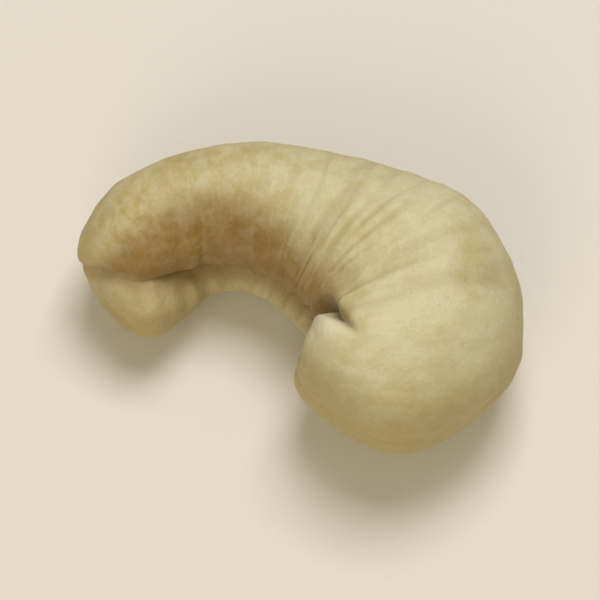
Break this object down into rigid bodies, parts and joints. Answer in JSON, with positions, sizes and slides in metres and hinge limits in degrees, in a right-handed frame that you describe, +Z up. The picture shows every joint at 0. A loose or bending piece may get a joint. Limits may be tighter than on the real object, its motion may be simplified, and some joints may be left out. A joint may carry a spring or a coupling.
{
  "type": "cashew nut",
  "caption": "Whole shelled cashew kernel, kidney shaped, with a thick round lobe, a slimmer curled arm, a seam groove in its hollow and a pinched fold at the inner corner, lying on its side.",
  "frame": {"origin": "on the floor under the middle of the kernel's bounding box", "axes": "+X along the kernel's length, from the slimmer arm towards the thick lobe; +Y towards the back of the curve, away from its hollow; +Z up, across the two seed leaves"},
  "size_m": [0.0228, 0.016, 0.0113],
  "materials": {
    "kernel": "satin, dry and slightly waxy raw nut flesh, cream with tan in its grooves"
  },
  "bodies": {
    "root": {"cashew_kernel": "kernel"}
  },
  "joints": []
}
